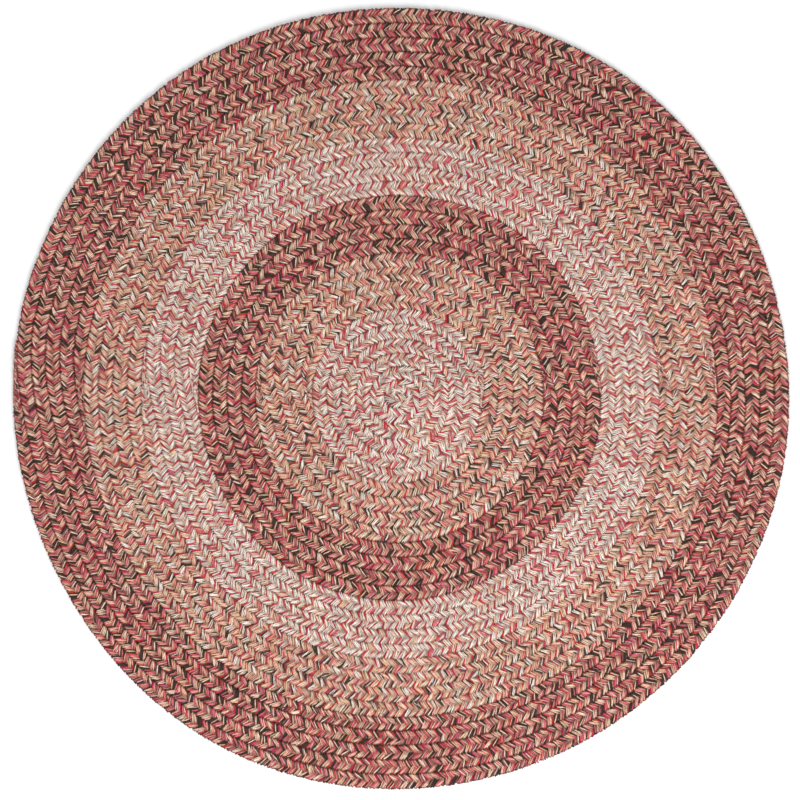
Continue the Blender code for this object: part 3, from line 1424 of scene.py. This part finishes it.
@dataclass(frozen=True)
class Band:
    """One colour band of the rug: its core, the strands of its braid and its tails."""

    layout: Layout
    plan: BandPlan
    pattern: BraidPattern
    outer: float  # the radius of its outer edge
    inner: float
    number: int  # from 0 at the rug's edge
    core: CorePattern
    tail: TailPattern = TailPattern()
    tail_share: float = 0.6  # the width of a row under which it is a tail

    def build(self) -> None:
        """Build and dress the band, and hide the solid that it stands for."""
        name, mix = self.plan.name, self.plan.mix
        track = Track(self.layout, self.plan, self.outer, self.inner)
        guide = guide_curve(name + "_track", [track.points])
        core_finish = CoreFinish(name + "_core_yarn", mix.mean_colour()).material()
        core = CoreTree(name + "_core", {
            "Track": guide, "Finish": core_finish, "Row Width": self.layout.pitch, **named(self.core),
        }).grow()
        finish = YarnFinish(name + "_yarn", mix.groove_shade, mix.mean_colour()).material()
        strands = [self._strands(limb, {"Track": guide, "Finish": finish}) for limb in Limb]
        strands.append(self._tails(track, finish))
        dropped(guide)
        for piece in (core, *strands):
            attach(piece, "root")
            LOG.info("%s: %d faces", piece.name, len(piece.data.polygons))
        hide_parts(name)
        track.length()
        LOG.info("%s: %.1f m of braid", name, track.length())

    def _tails(self, track: Track, finish: bpy.types.Material) -> bpy.types.Object:
        """Return the loose ends in the places where the braid tapers in and out.

        Args:
            track: the band's middle line.
            finish: the yarns' material.

        Returns:
            The piece of both tails.
        """
        guide = guide_curve(self.plan.name + "_tail_track", track.tails(self.tail_share))
        end = LooseEnd().build()
        piece = TailTree(self.plan.name + "_tails", {
            "Tails": guide, "End": end, "Finish": finish, "Seed": self.pattern.seed + self.number,
            **named(self.tail),
        }, self.plan.mix).grow()
        dropped(guide, end)
        return piece

    def _strands(self, limb: Limb, values: dict[str, Any]) -> bpy.types.Object:
        """Return the strands of one half of the rows, on both faces of the rug.

        Args:
            limb: the half of the rows.
            values: the track and the finish, by the names of the tree's inputs.

        Returns:
            The piece of these strands.
        """
        faces = []
        for bundle in BUNDLES:
            bits = [YarnBit(limb, bundle, lay, self.layout.pitch / 2).build() for lay in bundle.lays]
            lag = 0.5 * self.pattern.strand_pitch if limb is Limb.INNER else 0.0
            faces.append(StrandTree({
                **values,
                **{f"Yarn {number}": bit for number, bit in enumerate(bits)},
                "Strand Pitch": self.pattern.strand_pitch,
                "Row Width": self.layout.pitch,
                "Shift Along": lag - 0.5 * YarnBit.lean,
                "Strand Turn": 2 if limb is Limb.INNER else 0,
                "Upward": float(bundle.face.value),
                "Map From": bundle.map_from,
                "Map To": bundle.map_to,
                "Seed": self.pattern.seed_of(self.number, limb, bundle.face),
            }, self.pattern, self.plan.mix, bundle).grow())
            dropped(*bits)
        return joined(f"{self.plan.name}_{limb.name.lower()}_strands", faces)


@dataclass(frozen=True)
class Rug:
    """The whole rug."""

    layout: Layout
    pattern: BraidPattern
    plans: tuple[BandPlan, ...]
    rim_core: CorePattern = CorePattern(width_share=0.94)  # drawn in from the rug's edge

    def build(self) -> None:
        """Build every band, from the border inward."""
        rows_inside = self.layout.rows
        for number, plan in enumerate(self.plans):
            outer = rows_inside * self.layout.pitch - (0.0 if number else self.layout.rim_inset)
            rows_inside -= plan.rows
            inner = rows_inside * self.layout.pitch
            core = CorePattern() if number else self.rim_core
            Band(self.layout, plan, self.pattern, outer, inner, number, core).build()


# ---------------------------------------------------------------- the studio


@dataclass(frozen=True)
class Lamp:
    """A square soft lamp that faces the middle of the rug."""

    name: str
    place: tuple[float, float, float]
    size: float
    watts: float

    def hang(self) -> None:
        """Hang the lamp."""
        light = bpy.data.lights.new(self.name, "AREA")
        light.size = self.size
        light.energy = self.watts
        holder = linked(bpy.data.objects.new(self.name, light))
        holder.location = self.place
        holder.rotation_euler = (-Vector(self.place)).to_track_quat("-Z", "Y").to_euler()


@dataclass(frozen=True)
class Studio:
    """The floor, the light and the camera straight above the rug."""

    photo_side: float = 800.0  # the photo's frame, and the rug's edges in it, in pixels
    rug_left: float = 12.0
    rug_right: float = 790.0
    rug_top: float = 8.0
    rug_bottom: float = 789.0
    focal_mm: float = 100.0
    sensor_mm: float = 36.0
    farthest: float = 50.0
    floor_size: float = 8.0
    sky_strength: float = 0.66
    lamps: tuple[Lamp, ...] = (
        Lamp("key_lamp", (0.8, -2.0, 2.5), 2.4, 78.0),
        Lamp("fill_lamp", (-2.0, 1.6, 2.6), 2.4, 20.0),
    )

    def build(self, low: Vector, high: Vector) -> None:
        """Set up the floor, the lights and the camera.

        Args:
            low: the lowest corner of the rug's box.
            high: its highest corner.
        """
        self._floor()
        self._sky()
        for lamp in self.lamps:
            lamp.hang()
        self._camera(low, high)
        view = bpy.context.scene.view_settings
        view.view_transform = "Standard"
        view.look = "None"
        LOG.info("studio: floor, sky, %d lamps, camera", len(self.lamps))

    def _floor(self) -> None:
        """Lay the floor just under the rug."""
        half = self.floor_size / 2
        mesh = bpy.data.meshes.new("floor")
        mesh.from_pydata([(-half, -half, 0), (half, -half, 0), (half, half, 0), (-half, half, 0)],
                         [], [(0, 1, 2, 3)])
        mesh.materials.append(FloorFinish().material())
        floor = linked(bpy.data.objects.new("floor", mesh))
        floor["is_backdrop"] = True

    def _sky(self) -> None:
        """Light the scene evenly from all round."""
        world = bpy.data.worlds.new("studio")
        world.use_nodes = True
        sky = world.node_tree.nodes["Background"]
        sky.inputs["Color"].default_value = (1.0, 1.0, 1.0, 1.0)
        sky.inputs["Strength"].default_value = self.sky_strength
        bpy.context.scene.world = world

    def _camera(self, low: Vector, high: Vector) -> None:
        """Hang the camera straight above, so that the rug fills the photo's frame.

        Args:
            low: the lowest corner of the rug's box.
            high: its highest corner.
        """
        scale = (high.x - low.x) / (self.rug_right - self.rug_left)
        middle = (low + high) / 2
        across = self.photo_side / 2 - (self.rug_left + self.rug_right) / 2
        down = self.photo_side / 2 - (self.rug_top + self.rug_bottom) / 2
        distance = self.photo_side * scale * self.focal_mm / self.sensor_mm
        camera = bpy.data.cameras.new("camera")
        camera.lens = self.focal_mm
        camera.sensor_width = self.sensor_mm
        camera.clip_end = self.farthest
        holder = linked(bpy.data.objects.new("camera", camera))
        holder.location = (middle.x + across * scale, middle.y - down * scale, high.z + distance)
        bpy.context.scene.camera = holder


# ---------------------------------------------------------------- this rug


def yarns(*strands: str) -> Strands:
    """Return the yarns of each strand, which are named in words."""
    return tuple(tuple(YarnColour[word.upper()] for word in strand.split()) for strand in strands)


DARK = YarnMix(
    yarns("rose rose blush tan rose rose blush mauve",
          "tan tan sand sand blush tan tan rose",
          "bark bark tan bark bark rose mauve sand"),
    yarns("bark crimson", "bark bark", "crimson bark"),
    groove_shade=1.0,
)
TANNED = YarnMix(
    yarns("tan tan tan sand sand tan tan blush",
          "cream cream sand cream cream tan mauve bark",
          "rose blush tan tan tan sand tan blush"),
    yarns("crimson crimson", "bark crimson", "crimson bark"),
    groove_shade=0.1,
)
PALE = YarnMix(
    yarns("cream cream sand cream cream cream cream tan",
          "tan tan sand sand cream cream cream sand",
          "cream cream blush rose rose sand cream cream"),
    yarns("crimson crimson", "crimson crimson", "crimson crimson"),
    groove_shade=0.1,
)
PLANS = (
    BandPlan("dark_border", 5, 180.0, 24.0, 24.0, DARK),
    BandPlan("tan_band", 4, 6.0, 18.0, 18.0, TANNED),
    BandPlan("pale_band", 4, 177.0, 24.0, 24.0, PALE),
    BandPlan("dark_ring", 4, 9.0, 24.0, 24.0, DARK),
    BandPlan("tan_ring", 4, 177.0, 30.0, 30.0, TANNED),
    BandPlan("pale_middle", 6, 9.0, 48.0, 360.0, PALE),
)


def main() -> None:
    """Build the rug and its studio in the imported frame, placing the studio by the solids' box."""
    logging.basicConfig(level=logging.INFO, format="%(message)s")
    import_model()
    solid_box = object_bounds()
    low, high = Vector(solid_box[0]), Vector(solid_box[1])
    Studio().build(low, high)
    Rug(Layout(), BraidPattern(), PLANS).build()


if __name__ == "__main__":
    main()
